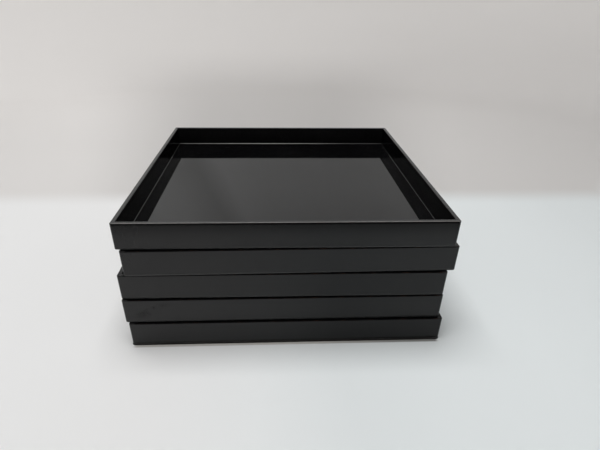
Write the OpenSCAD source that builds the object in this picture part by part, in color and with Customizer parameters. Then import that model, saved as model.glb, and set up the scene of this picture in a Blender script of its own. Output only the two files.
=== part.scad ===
// Stack of five square black lacquer meal trays.
// Each tray is a floor board let into four mitred walls, with a loose tongue hidden in each mitre.
// X runs to the right, Y away from the viewer and Z up, from the centre of the lowest underside.

/* [Tray] */
// Outside width of each square tray, one traditional foot
tray_w = 303; // [200:1:400]
// Height of each tray from its underside to its rim
tray_h = 25.8; // [20:0.2:60]
// Thickness of the four walls
wall_t = 4.2; // [3.8:0.1:7]
// Thickness of the floor board
board_t = 3.5; // [2.5:0.1:6]

/* [Edges] */
// Radius of the upright outside corners
corner_r = 2; // [0.8:0.1:3.6]
// Radius of the rim's two rounded edges
rim_r = 0.8; // [0.3:0.1:1.4]
// Radius of the rounded bottom edge outside
foot_r = 1.2; // [0.3:0.1:1.6]
// Reach of the lacquer fillet where a wall meets the floor
cove_w = 1; // [0.4:0.1:3]

/* [Joinery] */
// Depth that the floor board is let into the walls
board_seat = 2; // [1:0.1:2.4]
// Glue gap round the edge of the floor board
board_fit = 0.1; // [0.05:0.01:0.3]
// Thickness of the loose tongue in each mitre
tongue_t = 1.2; // [0.8:0.1:1.6]
// Width of the tongue across the mitre
tongue_w = 4; // [2.4:0.1:4.4]
// Distance along the mitre from the inside corner to the middle of the tongue
tongue_inset = 2.3; // [1.8:0.1:2.6]
// Wood left above the tongue and between it and the floor board
tongue_stop = 3; // [2:0.1:5]
// Glue gap on every side of the tongue
tongue_fit = 0.05; // [0.02:0.01:0.1]

/* [Stack] */
// How far trays 2, 3, 4 and 5 lie to the right of the lowest tray
lie_x = [-3.2, -2.7, 2.4, 0.1]; // [-8:0.1:8]
// How far trays 2, 3, 4 and 5 lie behind the lowest tray
lie_y = [2.6, 4.4, 5.2, 6.5]; // [-8:0.1:8]
// How far trays 2, 3, 4 and 5 are turned from the lowest tray, in degrees
lie_turn = [0.1, -0.2, 0.5, -0.2]; // [-4:0.1:4]

/* [Hidden] */
$fn = 48;
trays = [1:5];
lacquer = [0.05, 0.05, 0.055];
bare_wood = [0.78, 0.64, 0.44];

half_w = tray_w / 2;
seat_w = tray_w - 2 * (wall_t - board_seat);
board_w = seat_w - 2 * board_fit;
// The fillet is a little flatter than a quarter round, so that it ends in an edge and not in a feather.
cove_r = 1.15 * cove_w;
cove_centre = (cove_w + sqrt(2 * cove_r * cove_r - cove_w * cove_w)) / 2;
tongue_place = half_w - wall_t + tongue_inset / sqrt(2);
tongue_low = board_t + tongue_stop;
tongue_h = tray_h - tongue_stop - tongue_low;

walls = ["front_wall", "right_wall", "back_wall", "left_wall"];
pieces = concat(["floor_board"], walls, ["corner_tongues"]);

// Section of a wall, with its outside face at x = 0 and its inside to the right.
module wall_section() {
    translate([0, foot_r]) square([wall_t, tray_h - foot_r - rim_r]);
    translate([foot_r, 0]) square([wall_t - foot_r, 2 * foot_r]);
    translate([rim_r, tray_h - 2 * rim_r]) square([wall_t - 2 * rim_r, 2 * rim_r]);
    translate([foot_r, foot_r]) circle(foot_r);
    for (x = [rim_r, wall_t - rim_r]) translate([x, tray_h - rim_r]) circle(rim_r);
    translate([wall_t, board_t]) cove_section();
}

// Corner fillet with its square corner at the origin.
module cove_section() {
    difference() {
        square(cove_w);
        translate([cove_centre, cove_centre]) circle(cove_r);
    }
}

// Outer part of the wall's section, turned round the axis of the upright corner.
module corner_turn() {
    rotate_extrude(angle = 45)
        translate([corner_r, 0]) mirror([1, 0])
            intersection() {
                wall_section();
                square([corner_r, tray_h]);
            }
}

// The front wall with mitred ends, before the joints are cut.
module wall_blank() {
    run = tray_w - 2 * corner_r;
    intersection() {
        translate([-run / 2, -half_w, 0]) rotate([90, 0, 90]) linear_extrude(run) wall_section();
        linear_extrude(tray_h) polygon([[0, 0], [-tray_w, -tray_w], [tray_w, -tray_w]]);
    }
    for (side = [0, 1])
        mirror([side, 0, 0])
            translate([run / 2, corner_r - half_w, 0]) rotate(-90) corner_turn();
}

// One tongue, or with a gap the slot for it, upright across the mitre of the front right corner.
module tongue(gap = 0) {
    translate([tongue_place, -tongue_place, tongue_low + tongue_h / 2])
        rotate(45) cube([tongue_w, tongue_t, tongue_h] + 2 * gap * [1, 1, 1], center = true);
}

module each_corner() {
    for (turn = [0:90:270]) rotate(turn) children();
}

module wall(side) {
    color(lacquer)
        rotate(90 * side)
            difference() {
                wall_blank();
                translate([-seat_w / 2, -seat_w / 2, -1]) cube([seat_w, seat_w, board_t + 1]);
                for (turn = [0, -90]) rotate(turn) tongue(tongue_fit);
            }
}

module floor_board() {
    color(lacquer)
        translate([-board_w / 2, -board_w / 2, 0]) cube([board_w, board_w, board_t]);
}

module corner_tongues() {
    color(bare_wood) each_corner() tongue();
}

// Puts a piece where its tray lies in the stack. The lowest tray lies square.
module on_tray(n) {
    x = n == 1 ? 0 : lie_x[n - 2];
    y = n == 1 ? 0 : lie_y[n - 2];
    turn = n == 1 ? 0 : lie_turn[n - 2];
    translate([x, y, (n - 1) * tray_h]) rotate(turn) children();
}

for (n = trays) {
    on_tray(n) floor_board();
    for (side = [0:3])
        on_tray(n) wall(side);
    on_tray(n) corner_tongues();
}
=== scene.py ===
import bpy
import math
from mathutils import Matrix, Vector

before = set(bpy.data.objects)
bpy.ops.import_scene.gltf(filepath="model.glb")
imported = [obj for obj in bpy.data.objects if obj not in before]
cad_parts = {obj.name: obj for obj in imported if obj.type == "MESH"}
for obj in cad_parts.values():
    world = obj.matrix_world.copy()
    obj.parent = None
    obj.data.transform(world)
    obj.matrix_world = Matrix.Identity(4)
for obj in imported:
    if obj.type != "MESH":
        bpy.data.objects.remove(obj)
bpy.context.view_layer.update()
scene = bpy.context.scene
print("frame loaded:", len(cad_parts), "nodes of five trays")

# the camera of the photograph, measured from the middle of the lowest tray
cameraSettings = {
    "place": (-0.0140, -0.4818, 0.2998),
    "heading": -3.005,      # degrees, turned to the right of +Y
    "down": 30.83,          # degrees below the horizon
    "roll": 0.877,
    "lens": 26.43,          # mm on a 36 mm wide sensor
    "shift": (0.0123, 0.0467),
}


def makeCamera():
    data = bpy.data.cameras.new("camera")
    camera = bpy.data.objects.new("camera", data)
    scene.collection.objects.link(camera)
    turn = Matrix.Rotation(math.radians(cameraSettings["heading"]), 4, "Z")
    tilt = Matrix.Rotation(math.radians(90 - cameraSettings["down"]), 4, "X")
    roll = Matrix.Rotation(math.radians(cameraSettings["roll"]), 4, "Z")
    camera.matrix_world = Matrix.Translation(cameraSettings["place"]) @ turn @ tilt @ roll
    data.lens = cameraSettings["lens"]
    data.sensor_width = 36
    data.shift_x, data.shift_y = cameraSettings["shift"]
    scene.camera = camera
    print("camera placed")


# small helpers for building node trees

def setInput(tree, node, name, value):
    if isinstance(value, bpy.types.NodeSocket):
        tree.links.new(value, node.inputs[name])
    else:
        node.inputs[name].default_value = value


def addNode(tree, kind, **inputs):
    node = tree.nodes.new(kind)
    for name, value in inputs.items():
        setInput(tree, node, name.replace("_", " "), value)
    return node


def calc(tree, operation, *values):
    node = tree.nodes.new("ShaderNodeMath")
    node.operation = operation
    for i, value in enumerate(values):
        setInput(tree, node, i, value)
    return node.outputs[0]


def add(tree, *values):
    total = values[0]
    for value in values[1:]:
        total = calc(tree, "ADD", total, value)
    return total


def multiply(tree, *values):
    product = values[0]
    for value in values[1:]:
        product = calc(tree, "MULTIPLY", product, value)
    return product


def ramp(tree, value, low, high, outLow=0.0, outHigh=1.0, smooth=True):
    node = addNode(tree, "ShaderNodeMapRange", Value=value, From_Min=low, From_Max=high,
                   To_Min=outLow, To_Max=outHigh)
    if smooth:
        node.interpolation_type = "SMOOTHSTEP"
    return node.outputs[0]


def noise(tree, where, scale, detail=2.0, rough=0.5):
    node = addNode(tree, "ShaderNodeTexNoise", Vector=where, Scale=scale, Detail=detail, Roughness=rough)
    return node.outputs[0]


def mixColour(tree, amount, a, b):
    node = tree.nodes.new("ShaderNodeMix")
    node.data_type = "RGBA"
    setInput(tree, node, "Factor", amount)
    sockets = [i for i, socket in enumerate(node.inputs) if socket.type == "RGBA"]
    for i, value in zip(sockets, (a, b)):
        setInput(tree, node, i, value)
    return [socket for socket in node.outputs if socket.type == "RGBA"][0]


def scaleColour(tree, colour, amount):
    node = tree.nodes.new("ShaderNodeVectorMath")
    node.operation = "SCALE"
    setInput(tree, node, 0, colour)
    setInput(tree, node, "Scale", amount)
    return node.outputs[0]


def toneBands(tree, value, stops, tint=(1, 1, 1)):
    # a soft run of tones; each stop is a place and a tone
    low, high = stops[0][0], stops[-1][0]
    node = addNode(tree, "ShaderNodeValToRGB", Fac=ramp(tree, value, low, high, smooth=False))
    bands = node.color_ramp.elements
    for at, tone in stops[1:-1]:
        bands.new((at - low) / (high - low))
    for band, (at, tone) in zip(bands, stops):
        band.color = (*(tone * t for t in tint), 1)
    return node.outputs["Color"]


def newMaterial(name):
    material = bpy.data.materials.new(name)
    material.use_nodes = True
    return material, material.node_tree, material.node_tree.nodes["Principled BSDF"]


def objectPlace(tree):
    where = tree.nodes.new("ShaderNodeTexCoord").outputs["Object"]
    return where, addNode(tree, "ShaderNodeSeparateXYZ", Vector=where).outputs


def makeObject(name, verts, faces):
    mesh = bpy.data.meshes.new(name)
    mesh.from_pydata(verts, [], faces)
    for face in mesh.polygons:
        face.use_smooth = True
    made = bpy.data.objects.new(name, mesh)
    scene.collection.objects.link(made)
    return made


# the studio: a round sweep of pale paper that rises to a wall all round

sweep = {
    "floorRadius": 1.15,        # m, where the paper starts to rise
    "riseRadius": 0.45,         # of the curve from floor to wall
    "wallTop": 1.45,
    # tones of the floor from left to right
    "floorTones": ((-0.15, 0.797), (-0.03, 0.815), (0.055, 0.775), (0.13, 0.795), (0.25, 0.808), (0.33, 0.795),
                   (0.45, 0.765)),
    "floorLeftTint": (1.0, 1.0, 0.998),
    "floorRightTint": (0.955, 1.0, 1.008),
    "behind": (0.17, 0.24),     # m back, where the floor ends and the backdrop's tones begin
    "backTint": (1.012, 0.987, 0.967),
    # tones of the backdrop by distance back plus five times height, on its left and right
    "leftTones": ((0.20, 0.68), (0.50, 0.735), (0.80, 0.82), (1.00, 0.86), (2.60, 0.875)),
    "rightTones": ((0.20, 0.60), (0.50, 0.65), (0.80, 0.71), (1.10, 0.735), (1.60, 0.745), (2.60, 0.81)),
    "shadeBehind": 0.27,        # how much darker it is straight behind the stack, a painted shadow of the stack
    "outside": (0.72, 1.05),    # share of the reach to the side, where the paper turns plain
    "plainTone": (0.78, 0.78, 0.775, 1),
    # round the lowest tray, painted shadows: a dark contact line where it meets the paper, then a soft darker strip
    # in front of the foot, both by the distance from a square a little smaller than the tray
    "shadowSquare": 0.1485,
    "contactShadowTone": (0.020, 0.018, 0.016, 1),
    "contactShadow": (0.0041, 0.0036),
    "frontShadowTone": (0.46, 0.435, 0.41),
    "frontShadow": (0.0077, 0.0061),
    "frontShadowRight": 0.35,        # how much of that tone is left at the right
}

# a banner with soft leaning bands hangs high at the back; it is seen only mirrored in the lacquer

banner = {
    "radius": 1.59,
    "halfAngle": 42,            # degrees to either side of straight back
    "low": 0.28,
    "top": 1.40,
    "fadeUp": (0.30, 0.42),
    "fadeOut": (0.85, 1.02),
    # tones by height, and the bands' share of them from left to right
    "highTones": ((0.30, 0.79), (0.42, 0.75), (0.60, 0.56), (0.67, 0.61), (0.76, 0.69), (0.90, 0.78), (1.25, 0.82)),
    "bandTones": ((-0.95, 1.0), (-0.64, 1.32), (-0.52, 1.18), (-0.44, 1.02), (-0.37, 0.90), (-0.26, 1.18),
                  (-0.10, 1.06), (0.10, 1.0), (0.42, 0.97), (0.58, 1.06), (0.80, 1.0)),
    "bandLean": 0.40,
}


def floorColour(tree, x):
    left = toneBands(tree, x, sweep["floorTones"], sweep["floorLeftTint"])
    right = toneBands(tree, x, sweep["floorTones"], sweep["floorRightTint"])
    return mixColour(tree, ramp(tree, x, -0.15, 0.10), left, right)


def backToneAndShadow(tree, x, y, z):
    reach = add(tree, y, multiply(tree, z, 5.0))
    aside = calc(tree, "DIVIDE", x, add(tree, y, 0.5))
    left = toneBands(tree, reach, sweep["leftTones"], sweep["backTint"])
    right = toneBands(tree, reach, sweep["rightTones"], sweep["backTint"])
    colour = mixColour(tree, ramp(tree, aside, -0.45, 0.28, smooth=False), left, right)
    # a painted shadow of the stack, darkest straight behind it, fading further back and to the sides
    spread = calc(tree, "DIVIDE", calc(tree, "ABSOLUTE", add(tree, x, 0.02)),
                  add(tree, multiply(tree, y, 0.4), 0.35))
    shade = multiply(tree, ramp(tree, spread, 0.20, 0.80, 1.0, 0.0),
                     ramp(tree, reach, 0.65, 2.0, sweep["shadeBehind"], 0.0))
    return scaleColour(tree, colour, calc(tree, "SUBTRACT", 1.0, shade))


def paperAndPaintedShade():
    material, tree, shader = newMaterial("pale paper and painted shade")
    where, (x, y, z) = objectPlace(tree)
    # the change from floor to backdrop is soft, and softer still far out at the sides
    start, end = sweep["behind"]
    ax, ay = calc(tree, "ABSOLUTE", x), calc(tree, "ABSOLUTE", y)
    wide = ramp(tree, ax, 0.56, 1.3, end - start, 0.95, False)
    isBack = ramp(tree, calc(tree, "DIVIDE", add(tree, y, -start), wide), 0.0, 1.0)
    colour = mixColour(tree, isBack, floorColour(tree, x), backToneAndShadow(tree, x, y, z))
    outside = calc(tree, "DIVIDE", ax, add(tree, calc(tree, "MAXIMUM", y, -0.1), 0.62))
    outside = calc(tree, "MAXIMUM", outside, multiply(tree, y, -1.3))
    colour = mixColour(tree, ramp(tree, outside, *sweep["outside"]), colour, sweep["plainTone"])
    # painted shadows round the lowest tray: a dark contact line at its edge, and a soft strip in front of its foot,
    # darker to the right
    beyond = [calc(tree, "MAXIMUM", add(tree, side, -sweep["shadowSquare"]), 0.0) for side in (ax, ay)]
    away = calc(tree, "SQRT", add(tree, *(multiply(tree, side, side) for side in beyond)))
    frontShadow = scaleColour(tree, sweep["frontShadowTone"], ramp(tree, x, 0.0, 0.13, 1.0, sweep["frontShadowRight"]))
    inFront = multiply(tree, ramp(tree, y, -0.140, -0.150, 0.0, 0.85), ramp(tree, ax, 0.1515, 0.1470))
    colour = mixColour(tree, multiply(tree, ramp(tree, away, *sweep["frontShadow"]), inFront), colour, frontShadow)
    colour = mixColour(tree, ramp(tree, away, *sweep["contactShadow"]), colour, sweep["contactShadowTone"])
    setInput(tree, shader, "Base Color", colour)
    shader.inputs["Roughness"].default_value = 1
    shader.inputs["Specular IOR Level"].default_value = 0
    return material


def makeSweep(steps=16, around=96):
    radius, rise = sweep["floorRadius"], sweep["riseRadius"]
    profile = [(0.02, 0), (0.2, 0), (0.4, 0), (0.7, 0), (radius, 0)]
    for i in range(1, steps + 1):
        a = i / steps * math.pi / 2
        profile.append((radius + rise * math.sin(a), rise * (1 - math.cos(a))))
    profile.append((radius + rise, sweep["wallTop"]))
    n = len(profile)
    verts, faces = [], []
    for k in range(around):
        a = 2 * math.pi * k / around
        verts += [(q * math.cos(a), q * math.sin(a), z) for q, z in profile]
        k2 = (k + 1) % around
        faces += [(k * n + i, k * n + i + 1, k2 * n + i + 1, k2 * n + i) for i in range(n - 1)]
    faces.append([k * n for k in range(around)])
    made = makeObject("paperSweep", verts, faces)
    made.data.materials.append(paperAndPaintedShade())
    print("paper sweep made")


def bannerPaper():
    material, tree, shader = newMaterial("banner paper")
    where, (x, y, z) = objectPlace(tree)
    lean = add(tree, x, multiply(tree, add(tree, z, -0.64), -banner["bandLean"]))
    bands = toneBands(tree, lean, banner["bandTones"])
    setInput(tree, shader, "Base Color", scaleColour(tree, toneBands(tree, z, banner["highTones"]), bands))
    fadeSide = ramp(tree, calc(tree, "ABSOLUTE", x), *banner["fadeOut"], 1.0, 0.0)
    setInput(tree, shader, "Alpha", multiply(tree, ramp(tree, z, *banner["fadeUp"]), fadeSide))
    shader.inputs["Roughness"].default_value = 1
    shader.inputs["Specular IOR Level"].default_value = 0
    return material


def makeBanner(across=32, up=14):
    radius, low, top, half = (banner[k] for k in ("radius", "low", "top", "halfAngle"))
    rise, foot = sweep["riseRadius"], sweep["floorRadius"]
    verts = []
    for i in range(up + 1):
        z = low + (top - low) * i / up
        q = radius if z >= rise else foot - 0.01 + math.sqrt(rise ** 2 - (rise - z) ** 2)
        for k in range(across + 1):
            a = math.radians(half * (2 * k / across - 1))
            verts.append((q * math.sin(a), q * math.cos(a), z))
    w = across + 1
    faces = [(i * w + k, i * w + k + 1, (i + 1) * w + k + 1, (i + 1) * w + k)
             for i in range(up) for k in range(across)]
    made = makeObject("bandedBanner", verts, faces)
    made.visible_camera = made.visible_diffuse = made.visible_shadow = made.visible_transmission = False
    made.data.materials.append(bannerPaper())
    print("banner hung")


# a smoked flag lies in front; seen only in the gloss of the lacquer, it stands for the dark room there

flag = {
    "start": -0.335,        # m, where its shade begins on the floor
    "full": -0.43,
    "shade": 0.90,
    "width": 2.2,
    "lift": 0.0015,         # m above the paper
}


def smokedFilm():
    material, tree, shader = newMaterial("smoked flag")
    shader.inputs["Base Color"].default_value = (0.01, 0.01, 0.01, 1)
    shader.inputs["Specular IOR Level"].default_value = 0
    where, (x, y, z) = objectPlace(tree)
    shade = ramp(tree, y, flag["start"], flag["full"], 0.0, flag["shade"])
    side = ramp(tree, calc(tree, "ABSOLUTE", x), 0.6, 1.1, 1.0, 0.0)
    top = ramp(tree, z, 0.6, 1.05, 1.0, 0.0)
    setInput(tree, shader, "Alpha", multiply(tree, shade, side, top))
    return material


def makeFlag(across=24):
    rise, lift = sweep["riseRadius"], flag["lift"]
    path = [(-0.28 - 0.03 * i, lift) for i in range(22)]
    for i in range(1, 11):
        a = math.pi / 2 * i / 10
        path.append((-0.91 - rise * math.sin(a), lift + rise * (1 - math.cos(a))))
    path += [(-0.91 - rise, rise + 0.1 * i) for i in range(1, 7)]
    verts = [((k / across - 0.5) * flag["width"], y, z) for y, z in path for k in range(across + 1)]
    w = across + 1
    faces = [(i * w + k, i * w + k + 1, (i + 1) * w + k + 1, (i + 1) * w + k)
             for i in range(len(path) - 1) for k in range(across)]
    made = makeObject("smokedFlag", verts, faces)
    made.visible_camera = made.visible_diffuse = made.visible_shadow = made.visible_transmission = False
    made.data.materials.append(smokedFilm())
    print("smoked flag placed")


lamps = {
    "softboxPlace": (-0.16, 0.01, 1.75),
    "softboxSize": 1.0,
    "softboxRadiance": 8.1,
    "ceilingPlace": (0.0, 0.0, 1.70),       # a pale ceiling with soft edges, seen only in the lacquer
    "ceilingSize": 2.4,
    "ceilingRadiance": 1.2,
    "roomTone": 0.015,
}


def makeLamp(name, place, size, radiance):
    data = bpy.data.lights.new(name, "AREA")
    data.shape = "SQUARE"
    data.size = size
    data.energy = radiance * math.pi * size ** 2
    lamp = bpy.data.objects.new(name, data)
    scene.collection.objects.link(lamp)
    lamp.location = place
    lamp.visible_camera = False
    return lamp


def softenEdges(lamp):
    lamp.data.use_nodes = True
    tree = lamp.data.node_tree
    across = tree.nodes.new("ShaderNodeNewGeometry").outputs["Parametric"]
    u, v, w = addNode(tree, "ShaderNodeSeparateXYZ", Vector=across).outputs
    soft = [ramp(tree, calc(tree, "ABSOLUTE", add(tree, side, -0.5)), 0.5, 0.25) for side in (u, v)]
    setInput(tree, tree.nodes["Emission"], "Strength", multiply(tree, *soft))


def makeLamps():
    softbox = makeLamp("overheadSoftbox", lamps["softboxPlace"], lamps["softboxSize"], lamps["softboxRadiance"])
    softbox.visible_glossy = False
    ceiling = makeLamp("ceilingGlow", lamps["ceilingPlace"], lamps["ceilingSize"], lamps["ceilingRadiance"])
    ceiling.visible_diffuse = False
    softenEdges(ceiling)
    world = bpy.data.worlds.new("studio")
    world.use_nodes = True
    background = world.node_tree.nodes["Background"]
    background.inputs["Color"].default_value = (1, 1, 1, 1)
    background.inputs["Strength"].default_value = lamps["roomTone"]
    scene.world = world
    print("lamps made")


# the lacquer of the trays

tray = {
    "width": 0.303,
    "height": 0.0258,
    "wall": 0.0042,
    "board": 0.0035,
}

lacquer = {
    "body": (0.0020, 0.0020, 0.0022, 1),
    # grey of the dust, also used for the painted sheen and rim highlight
    "dustAndSheen": (0.10, 0.10, 0.10, 1),
    "scuffAndHighlight": (0.30, 0.29, 0.28, 1),             # dull grey of a handled edge, also a painted highlight along the rim's arris
    "undercoat": (0.050, 0.022, 0.012, 1),      # brown of the ground coat, where a rim is rubbed, and along the foot
    "ior": 1.42,
    "gloss": 0.035,             # roughness of a clean face
    "innerLevel": 0.025,        # of the flat inner faces, which stay darker than the rest
    "footLevel": 0.08,          # the foot's edge is left unpolished
    "seamShadeLevel": 0.06,          # the front of a rim that another tray stands on gleams less, as painted shade under that tray
    # five numbers run from the lowest tray to the top one, whose rim carries most scuffs and painted highlight
    "rimScuffAndHighlight": (0.01, 0.02, 0.06, 0.02, 0.62),
    "rimDustAndHighlight": (0.04, 0.05, 0.12, 0.05, 0.25),
    "easing": (0.0, 0.0, 0.0, 0.0, 0.12),           # how far the face leans back just under the rim
    "footHeight": (0.0011, 0.0009, 0.0009, 0.0009, 0.0009),
    "footDust": (0.45, 0.35, 0.35, 0.35, 0.35),     # along the foot's rounded edge
    "dullRight": (0.28, 0.20, 0.18, 0.02, 0.0),     # less gleam on the right half
    "footBrown": (0.60, 0.15, 0.15, 0.15, 0.15),     # brown along the foot, most on the lowest tray
    "rimWear": 0.35,
    "backWallDust": (0.025, 0.065),     # low on the back inner wall and near its top
    "creaseHighlightTone": (0.62, 0.61, 0.59, 1),            # pale painted highlight in the creases round the floor
    "creaseHighlightShare": {"left": 0.08, "right": 0.03, "front": 0.10},      # the back one is full
}

smudge = {
    "tray": 2,                  # a hand's smudge on the front of the second tray
    "middle": (-0.1245, 0.0137),
    "size": (0.0170, 0.0050),
    "lean": 0.40,               # it rises to the right
    "level": 0.72,
}


def trayPlace(number):
    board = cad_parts["tray_%d_floor_board" % number].data
    low = min(v.co.z for v in board.vertices)
    corners = [v.co for v in board.vertices if v.co.z < low + 1e-5]
    middle = sum((Vector(c) for c in corners), Vector()) / len(corners)
    first = max(corners, key=lambda c: (c.x - middle.x) + (c.y - middle.y))
    turn = math.atan2(first.y - middle.y, first.x - middle.x) - math.pi / 4
    return Vector((middle.x, middle.y, low)), turn


def trayRuler(tree, number):
    # the tray's own coordinates: u to the right, v to the back, w up from its foot
    place, turn = trayPlace(number)
    mapping = addNode(tree, "ShaderNodeMapping", Vector=objectPlace(tree)[0], Location=place, Rotation=(0, 0, turn))
    mapping.vector_type = "TEXTURE"
    local = mapping.outputs[0]
    u, v, w = addNode(tree, "ShaderNodeSeparateXYZ", Vector=local).outputs
    au, av = calc(tree, "ABSOLUTE", u), calc(tree, "ABSOLUTE", v)
    half = tray["width"] / 2
    return {"local": local, "u": u, "v": v, "w": w, "edge": calc(tree, "MAXIMUM", au, av),
            "sideness": calc(tree, "SUBTRACT", au, av), "half": half, "inner": half - tray["wall"],
            "high": tray["height"], "board": tray["board"]}


def trayRegions(tree, at, number):
    # where on the tray, each 0 to 1: rim, its outer arris, outer faces, foot, inner wall, inner floor
    w, edge, high, half, inner, board = (at[k] for k in ("w", "edge", "high", "half", "inner", "board"))
    atSide = ramp(tree, at["sideness"], -0.0002, 0.0002)
    coveTop = ramp(tree, atSide, 0, 1, board + 0.0012, board + 0.00012)
    footTop = lacquer["footHeight"][number - 1]
    covered = 0.0 if number == 5 else 1.0
    return {
        "rim": ramp(tree, w, high - 0.0009, high - 0.0002),
        "flat": ramp(tree, w, high - 0.0001, high - 0.00003),
        "arris": multiply(tree, ramp(tree, w, high - 0.00032, high - 0.00016),
                          ramp(tree, edge, half - 0.0009, half - 0.0006)),
        "outer": ramp(tree, edge, half - 0.0012, half - 0.0002),
        "foot": ramp(tree, w, footTop, footTop - 0.0005),
        "footBand": multiply(tree, ramp(tree, w, 0.0002, 0.0006), ramp(tree, w, 0.0018, 0.0011)),
        # painted shade on the front of a rim that another tray stands on
        "seamShade": multiply(tree, ramp(tree, w, high - 0.0008, high - 0.0006),
                         ramp(tree, at["v"], -half + 0.0042, -half + 0.0030),
                         ramp(tree, calc(tree, "ABSOLUTE", at["u"]), half - 0.0035, half - 0.0070), covered),
        "insideWall": multiply(tree, ramp(tree, edge, inner + 0.0003, inner + 0.0001),
                               ramp(tree, calc(tree, "SUBTRACT", w, coveTop), 0.0, 0.0001),
                               ramp(tree, edge, inner - 0.0011, inner - 0.0008)),
        "insideFloor": multiply(tree, ramp(tree, w, board + 0.0011, board + 0.0006), ramp(tree, w, 0.0006, 0.0010),
                                ramp(tree, edge, inner + 0.0010, inner + 0.0005)),
    }


def textures(tree, at):
    stretch = addNode(tree, "ShaderNodeMapping", Vector=at["local"], Scale=(18, 700, 500))
    return {
        "slow": noise(tree, at["local"], 14.0, 3.0),
        "fine": noise(tree, at["local"], 900.0, 2.0),
        "patch": noise(tree, at["local"], 120.0, 4.0, 0.6),
        "hairline": noise(tree, stretch.outputs[0], 1.0, 3.0, 0.7),
    }


def dustAndSheenAmount(tree, at, on, grain, number):
    # thin dust, more on the back inner wall, and on the outer faces a painted sheen, lighter to the left and a little
    # at the right end
    u, v, inner, half = at["u"], at["v"], at["inner"], at["half"]
    # painted sheen on the outer faces: lighter towards the left, and a little at the right end
    paintedSheen = add(tree, ramp(tree, u, 0.04, -0.15, 0.0, 0.08), ramp(tree, u, 0.07, 0.15, 0.0, 0.04))
    paintedSheen = multiply(tree, paintedSheen, ramp(tree, at["edge"], half - 0.0012, half - 0.0008))
    low, top = lacquer["backWallDust"]
    backWall = multiply(tree, ramp(tree, v, inner - 0.0002, inner), ramp(tree, v, inner + 0.0006, inner + 0.0003),
                        ramp(tree, at["w"], at["board"] + 0.002, at["high"], low, top))
    dustAndSheen = add(tree, ramp(tree, grain["slow"], 0.35, 0.75, 0.004, 0.03), paintedSheen, backWall)
    dustAndSheen = multiply(tree, dustAndSheen, ramp(tree, grain["fine"], 0.30, 0.75, 0.5, 1.1))
    # dust and a painted highlight on the flat of the rim, and dust along the foot
    dustAndSheen = add(tree, dustAndSheen, multiply(tree, on["flat"], lacquer["rimDustAndHighlight"][number - 1]),
               multiply(tree, on["footBand"], on["outer"], lacquer["footDust"][number - 1]))
    # the painted shade of a rim under another tray takes its dust away too
    return multiply(tree, dustAndSheen, calc(tree, "SUBTRACT", 1.0, on["seamShade"]))


def creaseHighlight(tree, at, on, grain):
    # a pale painted highlight in the creases round the floor, brightest in the middle of the back one
    u, v, near, far = at["u"], at["v"], at["inner"] - 0.0005, at["inner"] - 0.0008
    highlightShare = lacquer["creaseHighlightShare"]
    along = calc(tree, "MINIMUM", ramp(tree, u, -0.14, -0.02, 0.46, 1.05),
                 ramp(tree, u, -0.005, 0.10, 1.05, 0.12, False))
    back = multiply(tree, ramp(tree, v, far, near), along)
    front = multiply(tree, ramp(tree, v, -far, -near), highlightShare["front"])
    left = multiply(tree, ramp(tree, u, -far, -near), highlightShare["left"])
    right = multiply(tree, ramp(tree, u, far, near), highlightShare["right"])
    return multiply(tree, add(tree, back, front, left, right), on["insideFloor"],
                    ramp(tree, at["w"], at["board"] + 0.00048, at["board"] + 0.00032),
                    ramp(tree, grain["patch"], 0.3, 0.7, 0.8, 1.1))


def edgeWear(tree, at, on, grain, number):
    # scuffs and a painted highlight on the arris, and brown where the rim is rubbed through to the ground coat and
    # along the foot
    # painted highlight along the arris, strongest on the top tray, together with its scuffs
    scuffedAndHighlit = multiply(tree, on["arris"], calc(tree, "SUBTRACT", 1.0, on["seamShade"]), lacquer["rimScuffAndHighlight"][number - 1],
                       ramp(tree, grain["patch"], 0.3, 0.65, 0.7, 1.1))
    brownShare = calc(tree, "MAXIMUM", multiply(tree, on["rim"], lacquer["rimWear"]),
                multiply(tree, on["foot"], lacquer["footBrown"][number - 1]))
    return scuffedAndHighlit, multiply(tree, on["outer"], brownShare, ramp(tree, grain["patch"], 0.50, 0.66))


def smudgeLevel(tree, at):
    du = calc(tree, "DIVIDE", add(tree, at["u"], -smudge["middle"][0]), smudge["size"][0])
    rise = multiply(tree, add(tree, at["u"], -smudge["middle"][0]), smudge["lean"])
    dw = calc(tree, "DIVIDE", add(tree, at["w"], -smudge["middle"][1], multiply(tree, rise, -1.0)), smudge["size"][1])
    spread = add(tree, multiply(tree, du, du), multiply(tree, dw, dw))
    blot = multiply(tree, ramp(tree, spread, 1.6, 0.1), ramp(tree, noise(tree, at["local"], 70.0), 0.38, 0.58),
                    ramp(tree, at["v"], -0.14, -0.15))
    return ramp(tree, blot, 0, 1, 1.0, smudge["level"], False)


def glossLevel(tree, at, on, number):
    # less gleam on the inner walls, on the foot's edge, on the right half, and as painted shade on a rim that another
    # tray stands on
    level = ramp(tree, on["insideWall"], 0, 1, 0.5, lacquer["innerLevel"], False)
    level = calc(tree, "MINIMUM", level, ramp(tree, on["foot"], 0, 1, 0.5, lacquer["footLevel"], False))
    level = calc(tree, "MINIMUM", level, ramp(tree, on["seamShade"], 0, 1, 0.5, lacquer["seamShadeLevel"], False))
    level = multiply(tree, level, ramp(tree, at["u"], -0.03, 0.07, 1.0, 1.0 - lacquer["dullRight"][number - 1]))
    if number == smudge["tray"]:
        level = multiply(tree, level, smudgeLevel(tree, at))
    return level


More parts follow.
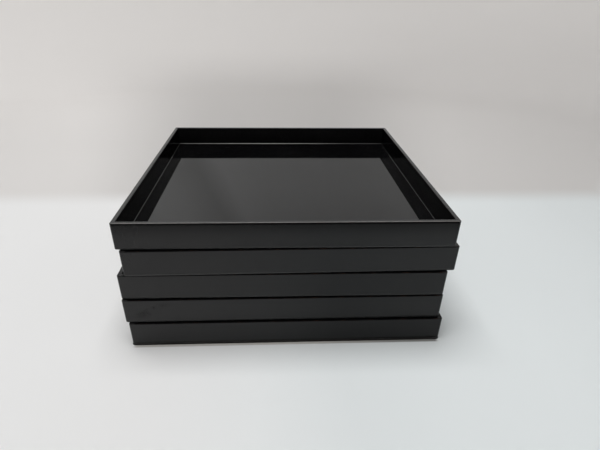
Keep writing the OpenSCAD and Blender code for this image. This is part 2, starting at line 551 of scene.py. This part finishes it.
def polishedNormal(tree, at, grain, number):
    # just under the rim the polished face leans back a little; then slow waves and the finest grain
    high, half = at["high"], at["half"]
    lean = multiply(tree, ramp(tree, at["w"], high - 0.0024, high - 0.0010),
                    ramp(tree, at["edge"], half - 0.0004, half - 0.0002), lacquer["easing"][number - 1])
    normal = tree.nodes.new("ShaderNodeVectorMath")
    setInput(tree, normal, 0, tree.nodes.new("ShaderNodeNewGeometry").outputs["Normal"])
    setInput(tree, normal, 1, addNode(tree, "ShaderNodeCombineXYZ", Z=lean).outputs[0])
    waves = addNode(tree, "ShaderNodeBump", Strength=1, Height=noise(tree, at["local"], 22.0, 1.0),
                    Distance=0.00004, Normal=normal.outputs[0])
    return addNode(tree, "ShaderNodeBump", Strength=1, Height=grain["fine"], Distance=0.0000015,
                   Normal=waves.outputs[0]).outputs[0]


def blackLacquer(number):
    material, tree, shader = newMaterial("black lacquer %d" % number)
    at = trayRuler(tree, number)
    on = trayRegions(tree, at, number)
    grain = textures(tree, at)
    scuffedAndHighlit, brownEdges = edgeWear(tree, at, on, grain, number)
    colour = mixColour(tree, dustAndSheenAmount(tree, at, on, grain, number), lacquer["body"], lacquer["dustAndSheen"])
    colour = mixColour(tree, scuffedAndHighlit, colour, lacquer["scuffAndHighlight"])
    colour = mixColour(tree, creaseHighlight(tree, at, on, grain), colour, lacquer["creaseHighlightTone"])
    colour = mixColour(tree, brownEdges, colour, lacquer["undercoat"])
    setInput(tree, shader, "Base Color", colour)
    roughness = add(tree, ramp(tree, grain["slow"], 0.3, 0.7, lacquer["gloss"] * 0.7, lacquer["gloss"] * 1.4),
                    multiply(tree, on["flat"], 0.16), multiply(tree, on["foot"], 0.25),
                    multiply(tree, brownEdges, 0.15), multiply(tree, scuffedAndHighlit, 0.3),
                    ramp(tree, grain["hairline"], 0.62, 0.75, 0.0, 0.02))
    setInput(tree, shader, "Roughness", roughness)
    setInput(tree, shader, "Specular IOR Level", glossLevel(tree, at, on, number))
    setInput(tree, shader, "Normal", polishedNormal(tree, at, grain, number))
    shader.inputs["IOR"].default_value = lacquer["ior"]
    return material


# the wood of the loose tongues, let into the corners under the lacquer

wood = {
    "pale": (0.62, 0.45, 0.27, 1),
    "dark": (0.42, 0.27, 0.14, 1),
    "grainScale": 900.0,
    "alongGrain": 0.08,         # the grain is drawn out upwards
    "roughness": (0.55, 0.75),
    "grainDepth": 0.00003,
}


def tongueWood():
    material, tree, shader = newMaterial("tongue wood")
    stretch = addNode(tree, "ShaderNodeMapping", Vector=objectPlace(tree)[0], Scale=(1, 1, wood["alongGrain"]))
    grain = noise(tree, stretch.outputs[0], wood["grainScale"], 4.0)
    rings = noise(tree, stretch.outputs[0], wood["grainScale"] * 0.2, 2.0)
    colour = mixColour(tree, grain, wood["dark"], wood["pale"])
    colour = mixColour(tree, ramp(tree, rings, 0.4, 0.7, 0.0, 0.4), colour, wood["dark"])
    setInput(tree, shader, "Base Color", colour)
    setInput(tree, shader, "Roughness", ramp(tree, grain, 0.3, 0.7, *wood["roughness"]))
    bump = addNode(tree, "ShaderNodeBump", Strength=1, Height=grain, Distance=wood["grainDepth"])
    setInput(tree, shader, "Normal", bump.outputs[0])
    return material


def finishTrays():
    tongues = tongueWood()
    for number in range(1, 6):
        black = blackLacquer(number)
        for name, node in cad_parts.items():
            if name.startswith("tray_%d_" % number):
                node.material_slots[0].material = tongues if name.endswith("tongues") else black
    print("lacquer on five trays")


makeCamera()
makeSweep()
makeBanner()
makeFlag()
makeLamps()
finishTrays()

scene.view_settings.view_transform = "Standard"
